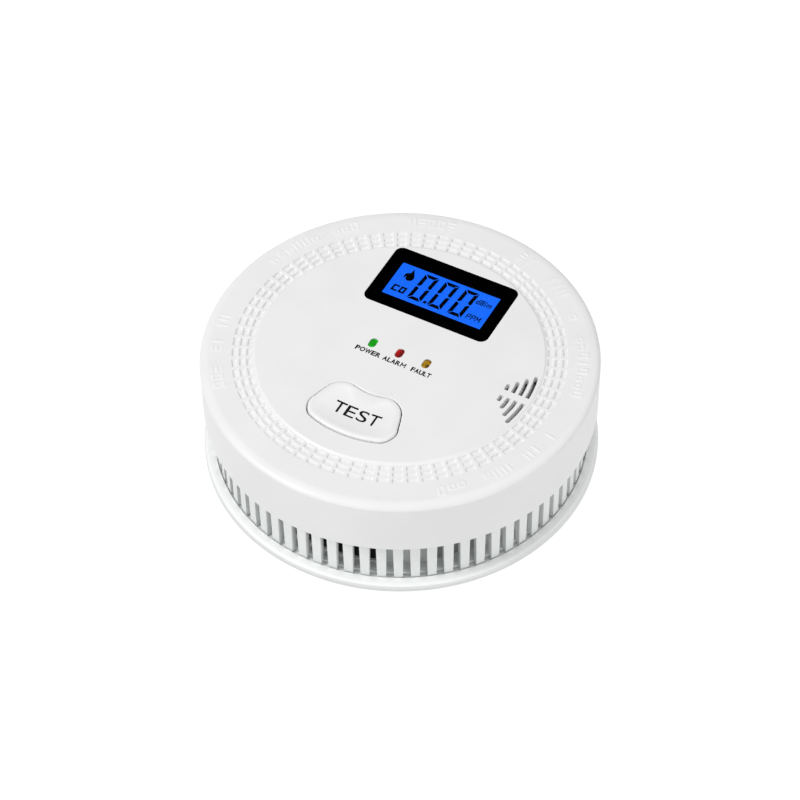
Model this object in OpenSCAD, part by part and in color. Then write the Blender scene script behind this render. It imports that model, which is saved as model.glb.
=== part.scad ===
// Round combined smoke and carbon monoxide detector, millimetres, +Z up, display towards +Y.
// The origin is the centre of the bracket's back face.

/* [Case] */
// Outer radius of the front cover
cover_r = 60; // [59:0.5:62]
// Height of the case from the bracket's back face to the raised disc
case_h = 39; // [39:0.5:42]
// Height of the cover's lower edge
cover_bottom = 19.4; // [18:0.2:21]
// Wall thickness of the cover
cover_wall = 1.8; // [1.6:0.1:2]
// Radius of the raised centre disc
disc_r = 43.4; // [43:0.2:45]
// Height of the raised disc over the outer ring
disc_step = 0.5; // [0.3:0.1:0.8]

/* [Vents] */
// Number of vent slots
vent_count = 72; // [60:6:72]
// Outer radius of the fins
fin_r = 57.2; // [56.8:0.1:57.4]
// Slot width at the bottom
slot_bottom_w = 2.35; // [1.8:0.05:2.6]
// Slot width at the top
slot_top_w = 1.9; // [1.5:0.05:2.4]

/* [Bracket] */
// Outer radius of the bracket's flange
bracket_r = 60.8; // [60.4:0.2:63]
// Thickness of the bracket
bracket_t = 3; // [2.6:0.1:3.2]
// Radius of the bracket's central opening
bracket_open_r = 42.5; // [42:0.1:43]
// Distance of each screw slot from the axis
screw_slot_x = 50; // [49.5:0.1:50.5]
// Width of each screw slot
screw_slot_w = 4.4; // [4:0.1:5]
// Length of each screw slot
screw_slot_l = 8; // [7:0.2:9]
// Twist that frees the detector from the bracket
unlock_angle = 15; // [12:1:18]

/* [Display] */
// Width of the display window
window_w = 41.6; // [38:0.2:43]
// Height of the display window
window_h = 23.8; // [22:0.2:25]
// Distance of the window's centre from the axis
window_y = 26.4; // [26:0.1:27]
// Width of the visible glass
glass_w = 34; // [30:0.5:35]
// Height of the visible glass
glass_h = 14.9; // [13:0.1:15.5]

/* [Indicators] */
// Distance between two indicators
indicator_pitch = 9.05; // [8.5:0.05:10]
// Distance of the row of indicators from the axis
indicator_y = -0.8; // [-1:0.1:0]
// Sideways offset of the row of indicators
indicator_x = 0.3; // [0:0.1:0.5]
// Width of an indicator
indicator_w = 2.2; // [1.8:0.1:2.5]
// Length of an indicator
indicator_l = 3.6; // [2.8:0.1:3.8]

/* [Button] */
// Half width of the test button
button_a = 14.5; // [13:0.1:15]
// Height of the button over the disc
button_proud = 0.6; // [0.3:0.1:1]
// Travel of the test button
button_travel = 0.5; // [0.3:0.1:0.6]

/* [Sounder] */
// Radius of the innermost sound slot
grille_r = 34.8; // [34:0.1:35.5]
// Spacing of the sound slots
grille_pitch = 2.33; // [2.2:0.01:2.45]
// Width of a sound slot
grille_slot_w = 1.2; // [1:0.1:1.4]

/* [Battery] */
// Length of the battery
battery_l = 48.5; // [46:0.5:49]
// Width of the battery
battery_w = 26.5; // [25:0.5:26.5]
// Thickness of the battery
battery_t = 17.5; // [15:0.5:17.5]

/* [Hidden] */
$fn = 96;
gap = 0.3;
cut = 0.5;                          // how far cutters run past a face
ring_z = case_h - disc_step;        // outer ring of the cover
under_z = case_h - 2.4;             // inner face of the cover's top
rim_w = 2.5;                        // rim bevel, across
rim_h = 1.3;                        // rim bevel, down
floor_z = bracket_t + gap;          // underside of the rear housing
floor_top = floor_z + 1.3;
groove_r = fin_r + 0.4;             // outer wall of the bracket's groove
groove_z = 1.8;                     // floor of the groove
step_z = groove_z + gap;            // underside of the housing in the groove
step_top = step_z + 1.3;
notch_r = 55.6;                     // inner end of the notches between the fins' feet
fin_in_r = 55.2;
fin_top = 18.4;
collar_top = 25;
collar_r = cover_r - cover_wall - 0.4;
baffle_r = 52.4;
baffle_in_r = 51.2;
baffle_top = 25;
vent_sill_z = step_top + 0.6;
vent_windows = [[60, 74], [96, 120], [150, 185], [220, 232], [261, 291], [310, 324]];
screw_angles = [40, 140, 240, 300];
screw_ring_r = 47.8;
post_top = 12.3;
shank_r = 1.25;
pilot_r = 1.3;
hook_angles = [90, 210, 330];
hook_half = 3;                      // half of a hook's angle
hook_play = 0.7;                    // free angle at each end of a hook
hook_stem_r = [47.6, 49.4];
hook_head_r = [46.2, 50.8];
hook_head_z = [floor_top + gap + 0.4, floor_top + gap + 1.9];
board_z = 27;
board_t = 1.6;
board_top = board_z + board_t;
board_r = 49.5;
board_posts = [[-12, 44], [41, -19], [-41, -19]];
chamber_y = -26.5;
chamber_r = 20.5;
chamber_z = 8;
battery_x = -27.5;                  // closed end of the battery
battery_y = 1.5;
battery_z = 5;
clip_top = battery_z + 16;
lead_x = battery_x + battery_l + 3.4;   // leads rise from the middle of the clip
bay_x = [-29.8, 28.8];              // inner faces of the battery bay
bay_y = [-4, 29.8];
bay_wall = 1.2;
bay_roof = [23.2, 24.4];
door_x = [-26, 25];
door_edge_y = 29;
door_axis_y = -1.6;
door_axis_z = 5;
door_barrel_r = 1.5;
door_pin_r = 1;
door_pin_l = 2.4;
lug_t = 2.8;
co_x = -41;
co_y = 2;
co_r = 7.6;
sounder_x = 38;
sounder_r = 11;
gasket_t = 0.6;
// Right half of the button's outline, from the dip to the rim side, over the half width
button_half = [
  [0, -18.95], [0.3, -18.45], [0.47, -18.02], [0.64, -18.75], [0.8, -20.7], [0.885, -23.5],
  [0.95, -26.4], [1, -29], [0.965, -31.6], [0.845, -34], [0.625, -35.25], [0.33, -36.15], [0, -36.45]
];
button_flange = 1.4;
switch_y = -27;
switch_body_top = board_top + 2;
plunger_r = 1.7;
mask_t = 0.15;
window_t = 1.1;
window_top = case_h - 0.05;
mask_z = window_top - window_t - mask_t;
lcd_t = 1.6;
lcd_z = mask_z - lcd_t;
lcd_w = 38;
lcd_h = 19;
grille_angles = [6, 9, 11.8, 14];   // outer end of each sound slot
grille_rib = 1.2;                   // inner end of each sound slot from the centre line

// ---- shared shapes ----

// Ring sector of inner radius r0, outer radius r1, between two angles and two heights
module sector(r0, r1, a0, a1, z0, z1) {
  rotate([0, 0, a0])
    rotate_extrude(angle = a1 - a0)
      translate([r0, z0]) square([r1 - r0, z1 - z0]);
}

module ring(r0, r1, z0, z1) {
  translate([0, 0, z0])
    difference() {
      cylinder(r = r1, h = z1 - z0);
      translate([0, 0, -cut]) cylinder(r = r0, h = z1 - z0 + 2 * cut);
    }
}

module disc(r, z0, z1) {
  translate([0, 0, z0]) cylinder(r = r, h = z1 - z0);
}

module block(x, y, z) {
  translate([x[0], y[0], z[0]]) cube([x[1] - x[0], y[1] - y[0], z[1] - z[0]]);
}

// Rectangle with round corners, centred, as an exact outline
module round_rect(w, h, r) {
  square([w - 2 * r, h], center = true);
  square([w, h - 2 * r], center = true);
  for (sx = [-1, 1], sy = [-1, 1])
    translate([sx * (w / 2 - r), sy * (h / 2 - r)]) circle(r = r);
}

// Oval with straight sides, long side along Y
module oval(w, l) {
  square([w, l - w], center = true);
  for (s = [-1, 1]) translate([0, s * (l - w) / 2]) circle(d = w);
}

// Slot along X with round ends
module x_slot(w, l, z0, z1) {
  translate([0, 0, z0]) linear_extrude(z1 - z0) rotate([0, 0, 90]) oval(w, l);
}

// Control points of the button's outline, clockwise from the dip
button_loop = [
  for (p = button_half) [p[0] * button_a, p[1]],
  for (i = [len(button_half) - 2:-1:1]) [-button_half[i][0] * button_a, button_half[i][1]]
];

// Point on the smooth closed curve through the control points, t in control points from the first
function on_curve(t) =
  let (n = len(button_loop), i = floor(t), u = t - i)
  let (a = button_loop[(i + n - 1) % n], b = button_loop[i % n])
  let (c = button_loop[(i + 1) % n], d = button_loop[(i + 2) % n])
  (2 * b + (c - a) * u + (2 * a - 5 * b + 4 * c - d) * u * u + (3 * b - a - 3 * c + d) * u * u * u) / 2;

// Outline of the button grown by g all round
function bean(g) = [
  for (k = [0:4 * len(button_loop) - 1])
    let (p = on_curve(k / 4), along = on_curve(k / 4 + 0.05) - on_curve(k / 4 + len(button_loop) - 0.05))
    p + g * [-along[1], along[0]] / norm(along)
];

module bean_prism(g, z0, z1) {
  translate([0, 0, z0]) linear_extrude(z1 - z0) polygon(bean(g));
}

// ---- wall bracket ----

module hook(a) {
  sector(hook_stem_r[0], hook_stem_r[1], a - hook_half, a + hook_half, bracket_t - cut, hook_head_z[1]);
  sector(hook_head_r[0], hook_head_r[1], a - hook_half, a + hook_half, hook_head_z[0], hook_head_z[1]);
}

module mounting_bracket() {
  head_z = 1.2;
  head_w = 8.6;
  head_l = 12.2;
  color("white")
    union() {
      difference() {
        rotate_extrude()
          polygon([
            [bracket_open_r, 0], [bracket_r - 0.6, 0], [bracket_r, 0.6], [bracket_r, bracket_t - 1.1],
            [bracket_r - 0.3, bracket_t - 0.5], [bracket_r - 1, bracket_t - 0.1],
            [bracket_r - 2, bracket_t],
            [groove_r, bracket_t], [groove_r, groove_z], [baffle_in_r - gap, groove_z],
            [baffle_in_r - gap, bracket_t], [bracket_open_r, bracket_t]
          ]);
        for (s = [-1, 1])
          translate([s * screw_slot_x, 0, 0]) {
            x_slot(screw_slot_w, screw_slot_l, -cut, bracket_t + cut);
            x_slot(head_w, head_l, head_z, bracket_t + cut);
          }
      }
      for (a = hook_angles) hook(a);
    }
}

// ---- rear housing ----

// Cutter that runs outwards from radius r, between two heights, and narrows upwards
module vent_cutter(r, z, w) {
  translate([r, 0, 0]) rotate([90, 0, 90])
    linear_extrude(6)
      polygon([[-w[0] / 2, z[0]], [w[0] / 2, z[0]], [w[1] / 2, z[1]], [-w[1] / 2, z[1]]]);
}

// Floor, fins, inner baffle and the collar that nests inside the cover, as one turned shell
module housing_shell() {
  difference() {
    rotate_extrude()
      polygon([
        [0, floor_z], [baffle_in_r, floor_z], [baffle_in_r, step_z], [fin_r, step_z],
        [fin_r, fin_top + 0.6], [collar_r, fin_top + 1.2], [collar_r, collar_top],
        [fin_r - 1, collar_top], [fin_r - 1, fin_top + 2], [fin_in_r, fin_top + 1], [fin_in_r, step_top],
        [baffle_r, step_top], [baffle_r, baffle_top], [baffle_in_r, baffle_top],
        [baffle_in_r, floor_top], [0, floor_top]
      ]);
    for (w = vent_windows) sector(baffle_r - 2, baffle_r + 1, w[0], w[1], vent_sill_z, 22);
    for (i = [0:vent_count - 1])
      rotate([0, 0, i * 360 / vent_count]) {
        vent_cutter(notch_r, [step_z - cut, step_top + 0.3], [slot_bottom_w, slot_bottom_w - 0.1]);
        vent_cutter(fin_in_r - 0.4, [step_top - 0.1, fin_top], [slot_bottom_w, slot_top_w]);
      }
  }
}

// Opening in the floor that a hook enters and then turns along
module hook_way(a) {
  low = floor_z - cut;
  high = floor_top + cut;
  turn = hook_half + hook_play;
  sector(hook_stem_r[0] - gap, hook_stem_r[1] + gap, a - unlock_angle - turn, a + turn, low, high);
  sector(hook_head_r[0] - gap, hook_head_r[1] + gap, a - unlock_angle - turn,
    a - unlock_angle + turn, low, high);
}

module battery_bay() {
  difference() {
    block([bay_x[0] - bay_wall, bay_x[1] + bay_wall], [bay_y[0] - bay_wall, bay_y[1] + bay_wall],
      [floor_z + 0.4, bay_roof[1]]);
    block(bay_x, bay_y, [floor_top, bay_roof[0]]);
    block([door_x[0] - 0.4, door_x[1] + 0.4], [door_axis_y - 2, door_edge_y + 0.4],
      [floor_z - cut, floor_top + cut]);
    for (y = [9, 21]) translate([lead_x, y, bay_roof[0] - cut]) cylinder(r = 1.4, h = 3);
  }
}

// Ear that carries one end of the door's hinge
module hinge_lug(x) {
  block([x, x + lug_t], [door_axis_y - 2.2, door_axis_y + 2.2], [floor_z + 0.4, door_axis_z + 2.4]);
}

module rear_housing() {
  color("white")
    difference() {
      union() {
        housing_shell();
        battery_bay();
        for (a = screw_angles)
          rotate([0, 0, a]) translate([screw_ring_r, 0, floor_z + 0.4])
            cylinder(r = 3.7, h = post_top - floor_z - 0.4);
        for (x = [door_x[0] - 0.4 - lug_t, door_x[1] + 0.4]) hinge_lug(x);
      }
      for (a = hook_angles) hook_way(a);
      block([door_x[0] - 0.4, door_x[1] + 0.4], [door_axis_y - 2, door_edge_y + 0.4],
        [floor_z - cut, floor_top + cut]);
      translate([door_x[0] - lug_t - 0.8, door_axis_y, door_axis_z]) rotate([0, 90, 0])
        cylinder(r = door_pin_r + 0.05, h = door_x[1] - door_x[0] + 2 * lug_t + 1.6);
      for (a = screw_angles)
        rotate([0, 0, a]) translate([screw_ring_r, 0, 0]) {
          translate([0, 0, floor_z - cut]) cylinder(r = 2.8, h = 2.2 + cut);
          cylinder(r = 1.6, h = post_top + cut);
        }
    }
}

// ---- front cover ----

module cover_shell() {
  in_r = cover_r - cover_wall;
  rotate_extrude()
    polygon([
      [0, under_z], [in_r - 1.2, under_z], [in_r, under_z - 1.2], [in_r, cover_bottom],
      [cover_r - 0.2, cover_bottom], [cover_r, cover_bottom + 0.2], [cover_r, ring_z - rim_h],
      [cover_r - 0.3, ring_z - rim_h + 0.5], [cover_r - rim_w + 0.4, ring_z - 0.1],
      [cover_r - rim_w, ring_z], [disc_r + 0.3, ring_z], [disc_r, ring_z + 0.25],
      [disc_r - 0.3, case_h], [0, case_h]
    ]);
}

// One sound slot: a short piece of a narrow ring
module sound_slot(r, a0, a1) {
  sector(r - grille_slot_w / 2, r + grille_slot_w / 2, a0, a1, under_z - cut, case_h + cut);
}

module sound_slots() {
  for (i = [0:3]) {
    r = grille_r + i * grille_pitch;
    a0 = asin((grille_rib + grille_slot_w / 2) / r);
    sound_slot(r, a0, grille_angles[i]);
    rotate([0, 0, -grille_angles[i] - a0]) sound_slot(r, a0, grille_angles[i]);
  }
}

module front_cover() {
  color("white")
    difference() {
      union() {
        cover_shell();
        for (a = screw_angles)
          rotate([0, 0, a]) translate([screw_ring_r, 0, post_top])
            cylinder(r = 3, h = under_z - post_top + cut);
        for (p = board_posts)
          translate([p[0], p[1], board_top]) cylinder(r = 2.6, h = under_z - board_top + cut);
      }
      translate([0, window_y, under_z - cut]) linear_extrude(5)
        round_rect(window_w + 0.4, window_h + 0.4, 2.2);
      bean_prism(gap / 2, under_z - cut, case_h + cut);
      for (i = [-1:1])
        translate([indicator_x + i * indicator_pitch, indicator_y, under_z - cut]) linear_extrude(5)
          oval(indicator_w + 0.2, indicator_l + 0.2);
      sound_slots();
      for (a = screw_angles)
        rotate([0, 0, a]) translate([screw_ring_r, 0, post_top - cut]) cylinder(r = pilot_r, h = 10);
      for (p = board_posts)
        translate([p[0], p[1], board_top - cut]) cylinder(r = pilot_r, h = 6.5);
    }
}

// ---- test button and its switch ----

module test_button() {
  top = case_h + button_proud;
  stem_low = switch_body_top + 1.2;
  color("white")
    union() {
      bean_prism(-gap / 2, under_z - 1.2, top - 0.5);
      bean_prism(-gap / 2 - 0.5, top - 0.6, top);
      bean_prism(button_flange, under_z - 1.3, under_z - 0.1);
      translate([0, switch_y, stem_low]) cylinder(r = 2.2, h = under_z - stem_low);
    }
}

module tact_switch_body() {
  color("dimgray")
    difference() {
      translate([-3, switch_y - 3, board_top]) cube([6, 6, switch_body_top - board_top]);
      translate([0, switch_y, board_top + 0.8 - button_travel]) cylinder(r = plunger_r + 0.05, h = 4);
    }
}

module switch_plunger() {
  color("black")
    translate([0, switch_y, board_top + 1]) cylinder(r = plunger_r, h = switch_body_top - board_top);
}

// ---- battery, its door and leads ----

module battery_door() {
  color("white")
    union() {
      block(door_x, [door_axis_y, door_edge_y], [floor_z, floor_top]);
      difference() {
        translate([door_x[0], door_axis_y, door_axis_z]) rotate([0, 90, 0])
          cylinder(r = door_barrel_r, h = door_x[1] - door_x[0]);
        block([door_x[0] + 8, door_x[1] - 8], [door_axis_y - 3, door_axis_y + 3], [floor_top, 9]);
      }
      translate([door_x[0] - door_pin_l, door_axis_y, door_axis_z]) rotate([0, 90, 0])
        cylinder(r = door_pin_r, h = door_x[1] - door_x[0] + 2 * door_pin_l);
      block([-7, 7], [door_edge_y - 2.6, door_edge_y - 1.4], [floor_top - cut, floor_top + 0.3]);
    }
}

module battery() {
  color("darkslategray")
    translate([battery_x, battery_y, battery_z]) {
      translate([1, 1, 0]) cube([battery_l - 2, battery_w - 2, battery_t]);
      translate([0, 0, 1]) cube([battery_l, battery_w, battery_t - 2]);
    }
}

module battery_terminals() {
  color("silver")
    for (y = [-6.35, 6.35])
      translate([battery_x + battery_l, battery_y + battery_w / 2 + y, battery_z + battery_t / 2])
        rotate([0, 90, 0]) cylinder(r = y < 0 ? 2.9 : 3.9, h = 2.2);
}

module battery_clip() {
  x0 = battery_x + battery_l + 2.2;
  color("black")
    block([x0, x0 + 2.4], [battery_y + 1, battery_y + battery_w - 1], [battery_z + 1.5, clip_top]);
}

// A stiff straight lead from the clip through the bay's roof to the board
module lead(y) {
  translate([lead_x, y, clip_top]) cylinder(r = 0.7, h = board_z - clip_top, $fn = 24);
}

module battery_lead_red() { color("red") lead(9); }

module battery_lead_black() { color("black") lead(21); }

// ---- circuit board ----

module circuit_board() {
  color("darkgreen")
    difference() {
      translate([0, 0, board_z]) cylinder(r = board_r, h = board_t);
      for (a = screw_angles)
        rotate([0, 0, a]) translate([screw_ring_r, 0, board_z - cut])
          cylinder(r = 3.6, h = board_t + 2 * cut);
      for (p = board_posts)
        translate([p[0], p[1], board_z - cut]) cylinder(r = 1.6, h = board_t + 2 * cut);
    }
}

module microcontroller() {
  x = -24;
  y = -14;
  color("black")
    union() {
      translate([x - 5, y - 5, board_top + 0.2]) cube([10, 10, 1.4]);
      for (i = [-5:5], s = [-1, 1]) {
        translate([x + i * 0.8 - 0.15, y + s * 5.6 - 0.7, board_top]) cube([0.3, 1.4, 0.6]);
        translate([x + s * 5.6 - 0.7, y + i * 0.8 - 0.15, board_top]) cube([1.4, 0.3, 0.6]);
      }
    }
}

module surface_parts() {
  color("tan")
    for (i = [0:5], j = [0:1])
      translate([-38 + i * 3.4, 8 + j * 4, board_top]) cube([2, 1.25, 0.6]);
}

module capacitors() {
  color("midnightblue")
    for (p = [[24, -16], [24, -27], [33, -22]])
      translate([p[0], p[1], board_top]) cylinder(r = 3.1, h = 6.2);
}

module boost_inductor() {
  color("dimgray")
    translate([-36, -4, board_top])
      union() {
        cylinder(r = 4, h = 0.9);
        cylinder(r = 2.4, h = 4.6);
        translate([0, 0, 3.8]) cylinder(r = 4, h = 0.8);
      }
}

// ---- smoke chamber ----

module smoke_chamber_base() {
  color("black")
    translate([0, chamber_y, 0])
      union() {
        disc(chamber_r, board_z - 1.6, board_z);
        for (s = [-1, 1])
          translate([s * 12, 0, 0])
            difference() {
              translate([-3.4, -3.6, 13]) cube([6.8, 7.2, board_z - 14]);
              translate([0, 0, 16.5]) rotate([0, s * 90, 0]) {
                cylinder(r = 2.6, h = 10, center = true);
                translate([0, 0, 1.9]) cylinder(r = 3, h = 3);
              }
            }
      }
}

module smoke_labyrinth_cap() {
  vanes = 18;
  color("black")
    translate([0, chamber_y, 0])
      union() {
        disc(chamber_r, chamber_z, chamber_z + 1.4);
        for (i = [0:vanes - 1])
          rotate([0, 0, i * 360 / vanes]) translate([17.6, 0, chamber_z + 1]) rotate([0, 0, 40])
            translate([-1.6, -0.5, 0]) cube([3.2, 1, board_z - 2.8 - chamber_z]);
      }
}

// Dark mesh patches that fill the baffle's windows
module vent_screens() {
  color("dimgray")
    for (w = vent_windows) sector(baffle_in_r, baffle_in_r + 0.4, w[0], w[1], vent_sill_z, 22);
}

module insect_screen() {
  color("silver")
    translate([0, chamber_y, 0]) ring(chamber_r - 0.7, chamber_r - 0.4, chamber_z + 1.4, board_z - 1.6);
}

// Round emitter or receiver in its holder, lens towards the chamber's middle
module optical_part(s) {
  translate([s * 12, chamber_y, 16.5]) rotate([0, -s * 90, 0])
    union() {
      translate([0, 0, -3]) cylinder(r = 2.9, h = 1, $fn = 48);
      translate([0, 0, -3]) cylinder(r = 2.5, h = 5.2, $fn = 48);
      translate([0, 0, 2.2]) sphere(r = 2.5, $fn = 48);
    }
}

module smoke_emitter() { color("lightblue") optical_part(-1); }

module smoke_photodiode() { color("black") optical_part(1); }

// ---- gas sensor ----

module co_sensor() {
  color("silver")
    union() {
      translate([co_x, co_y, board_z - 15]) cylinder(r = co_r, h = 13.4);
      for (p = [[-3, -2], [3, -2], [0, 3.5]])
        translate([co_x + p[0], co_y + p[1], board_z - 2]) cylinder(r = 0.5, h = 2, $fn = 24);
    }
}

module co_sensor_filter() {
  color("white")
    difference() {
      translate([co_x, co_y, board_z - 17]) cylinder(r = co_r, h = 2);
      for (i = [0:5])
        translate([co_x, co_y, board_z - 17.5]) rotate([0, 0, i * 60]) translate([3.4, 0, 0])
          cylinder(r = 0.8, h = 3, $fn = 24);
      translate([co_x, co_y, board_z - 17.5]) cylinder(r = 0.8, h = 3, $fn = 24);
    }
}

// ---- sounder ----

module sounder_horn() {
  color("black")
    translate([sounder_x, 0, 0])
      union() {
        ring(sounder_r - 1.4, sounder_r, board_top, under_z - gasket_t);
        ring(3, sounder_r - 1.2, under_z - gasket_t - 1.6, under_z - gasket_t - 0.6);
        ring(sounder_r - 3, sounder_r - 1.2, board_top, board_top + 1.2);
      }
}

module piezo_disc() {
  color("goldenrod")
    translate([sounder_x, 0, board_top + 1.2])
      union() {
        cylinder(r = 9.3, h = 0.3);
        translate([0, 0, 0.3]) cylinder(r = 6.4, h = 0.25);
      }
}

module sounder_gasket() {
  color("dimgray")
    translate([sounder_x, 0, 0]) ring(sounder_r - 1.4, sounder_r, under_z - gasket_t, under_z);
}

// ---- display ----

module display_window() {
  color("lightblue", 0.4)
    translate([0, window_y, window_top - window_t]) linear_extrude(window_t)
      round_rect(window_w, window_h, 2);
}

module display_mask() {
  color("black")
    translate([0, window_y, mask_z])
      difference() {
        linear_extrude(mask_t) round_rect(window_w, window_h, 2);
        translate([0, 0, -cut]) linear_extrude(2) round_rect(glass_w, glass_h, 0.4);
      }
}

module lcd_glass() {
  color("royalblue")
    translate([-lcd_w / 2, window_y - lcd_h / 2, lcd_z]) cube([lcd_w, lcd_h, lcd_t]);
}

module lcd_backlight() {
  color("aliceblue")
    translate([-lcd_w / 2, window_y - lcd_h / 2, lcd_z - 3]) cube([lcd_w, lcd_h - 3, 3]);
}

module lcd_holder() {
  color("white")
    translate([0, window_y, board_top])
      difference() {
        linear_extrude(mask_z - board_top) round_rect(window_w - 0.4, window_h - 0.4, 2);
        translate([-lcd_w / 2 - 0.05, -lcd_h / 2 - 0.05, -cut])
          cube([lcd_w + 0.1, lcd_h + 0.1, 12]);
      }
}

module lcd_connector() {
  color("dimgray")
    block([-17, 17], [window_y + lcd_h / 2 - 2.6, window_y + lcd_h / 2 - 0.6], [board_top, lcd_z]);
}

// ---- indicators ----

module light_pipe(i) {
  shoulder = board_top + 3;
  translate([indicator_x + i * indicator_pitch, indicator_y, shoulder])
    union() {
      linear_extrude(case_h - 0.4 - shoulder) oval(indicator_w, indicator_l);
      translate([0, 0, case_h - 0.4 - shoulder])
        linear_extrude(0.3) oval(indicator_w - 0.5, indicator_l - 0.5);
      linear_extrude(1.2) oval(indicator_w + 1, indicator_l + 1);
    }
}

module power_light_pipe() { color("green") light_pipe(-1); }

module alarm_light_pipe() { color("red") light_pipe(0); }

module fault_light_pipe() { color("goldenrod") light_pipe(1); }

module light_pipe_holder() {
  color("black")
    translate([indicator_x, indicator_y, board_top])
      difference() {
        linear_extrude(6) round_rect(2 * indicator_pitch + 7, 7, 1);
        for (i = [-1:1])
          translate([i * indicator_pitch, 0, 0]) {
            translate([0, 0, -cut]) linear_extrude(4.7 + cut) oval(indicator_w + 1.1, indicator_l + 1.1);
            linear_extrude(8) oval(indicator_w + 0.1, indicator_l + 0.1);
          }
      }
}

module indicator_leds() {
  color("lightyellow")
    for (i = [-1:1])
      translate([indicator_x + i * indicator_pitch - 0.8, indicator_y - 1, board_top]) cube([1.6, 2, 1.1]);
}

// ---- fasteners and label ----

module housing_screws() {
  color("silver")
    for (a = screw_angles)
      rotate([0, 0, a]) translate([screw_ring_r, 0, floor_z + 0.3])
        difference() {
          union() {
            cylinder(r = 2.6, h = 1.9);
            cylinder(r = shank_r, h = 17);
          }
          translate([-1.8, -0.25, -cut]) cube([3.6, 0.5, cut + 0.9]);
          translate([-0.25, -1.8, -cut]) cube([0.5, 3.6, cut + 0.9]);
        }
}

module board_screws() {
  color("silver")
    for (p = board_posts)
      translate([p[0], p[1], board_z - 1.5])
        union() {
          cylinder(r = 2.4, h = 1.5);
          cylinder(r = shank_r, h = 7);
        }
}

module rear_label() {
  color("silver")
    block([-22, 22], [-33, -9], [floor_z - 0.1, floor_z]);
}

mounting_bracket();
rear_housing();
front_cover();
test_button();
switch_plunger();
battery_door();
battery();
battery_terminals();
battery_clip();
battery_lead_red();
battery_lead_black();
circuit_board();
smoke_chamber_base();
smoke_labyrinth_cap();
insect_screen();
vent_screens();
smoke_emitter();
smoke_photodiode();
co_sensor();
co_sensor_filter();
sounder_horn();
piezo_disc();
sounder_gasket();
display_window();
display_mask();
lcd_glass();
lcd_backlight();
lcd_holder();
lcd_connector();
power_light_pipe();
alarm_light_pipe();
fault_light_pipe();
light_pipe_holder();
indicator_leds();
tact_switch_body();
microcontroller();
surface_parts();
capacitors();
boost_inductor();
housing_screws();
board_screws();
rear_label();
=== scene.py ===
"""Looks of the round smoke and carbon monoxide detector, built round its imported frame.

Shapes are worked out in millimetres, in the frame of the CAD model, and turned into metres as each
mesh is made.
"""
import math

import bmesh
import bpy
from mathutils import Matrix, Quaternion, Vector
from mathutils.bvhtree import BVHTree
from mathutils.geometry import delaunay_2d_cdt


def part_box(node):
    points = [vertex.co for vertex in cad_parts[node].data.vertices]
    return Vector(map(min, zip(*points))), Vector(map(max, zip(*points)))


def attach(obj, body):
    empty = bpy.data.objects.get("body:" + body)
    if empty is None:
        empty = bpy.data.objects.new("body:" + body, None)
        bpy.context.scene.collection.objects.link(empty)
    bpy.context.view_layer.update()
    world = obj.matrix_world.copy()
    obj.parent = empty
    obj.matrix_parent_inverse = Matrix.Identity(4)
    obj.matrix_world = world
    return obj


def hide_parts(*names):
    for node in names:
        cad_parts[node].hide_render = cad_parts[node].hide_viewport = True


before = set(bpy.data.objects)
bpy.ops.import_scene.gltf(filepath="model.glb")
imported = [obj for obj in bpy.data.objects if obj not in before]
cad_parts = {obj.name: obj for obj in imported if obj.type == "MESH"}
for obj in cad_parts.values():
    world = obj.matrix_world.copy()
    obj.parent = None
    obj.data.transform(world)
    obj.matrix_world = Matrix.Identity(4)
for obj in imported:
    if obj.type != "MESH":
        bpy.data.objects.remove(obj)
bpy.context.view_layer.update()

MM = 0.001

# Case
COVER_R = 60.0
COVER_WALL = 1.8
COVER_LOW = 19.4            # lower edge of the cover's wall
UNDER_Z = 36.6              # inner face of the cover's top
RING_Z = 38.5               # outer ring of the top face
DISC_Z = 39.0               # raised centre disc
DISC_R = 43.65
COLUMNS = 1440              # points round the cover

# Pockets moulded in the ring
POCKET_PITCH = 5.0          # degrees
POCKET_RIB = 1.0            # degrees
POCKET_ROWS = 3
POCKET_FIRST_R = 44.15
POCKET_ROW_PITCH = 2.22
POCKET_LENGTH = 1.8
POCKET_DEPTH = 0.52
POCKET_SLOPE = 0.38         # run of the sloping sides
POCKET_STEPS = 8            # rings from one side of a pocket to the other

# Raised marks round the rim
MARK_R = (53.05, 56.55)
MARK_STEP = 0.25            # from one row of points to the next
MARK_HEIGHT = 0.2
MARK_WIDTH = 9              # columns in one mark
MARK_SPACE = 13             # columns from one mark to the next
MARK_TALL = 13              # rows in one mark
# First and last angle of each group
MARK_GROUPS = [(9, 38), (42, 48), (53, 63), (70, 77), (100, 119), (132, 142), (146, 167), (192, 200),
               (202, 211), (214, 226), (310, 322), (325, 336), (340, 348), (350, 355)]

# Display
WINDOW_Y = 26.45
WINDOW_HOLE = (42.1, 24.3)
WINDOW_CORNER = 2.5
WINDOW_VIEW = (0.3, 26.0, 33.5, 14.3)       # clear part inside the printed border: centre, width, height
WINDOW_VIEW_CORNER = 0.15
WINDOW_PLAY = 0.1           # the printed border is this much smaller than the hole
BORDER_LAYER = (0.005, 0.025)   # underside and top of the printed border over the window
SEGMENT_LAYER = (0.02, 0.07)    # underside and top of the segments over the glass
DIGIT_SIZE = (4.7, 11.4)
DIGIT_LEFT = (-8.85, -1.95, 4.95)
DIGIT_BASE = 21.3
DIGIT_SLANT = 4.5           # degrees
SEGMENT = 1.2
SEGMENT_GAP = 0.24
DECIMAL_POINT = [(-3.85, 21.5), (-2.8, 21.5), (-2.72, 22.5), (-3.77, 22.5)]
FLAME = (-12.5, 30.1, 5.0)  # middle and height
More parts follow.
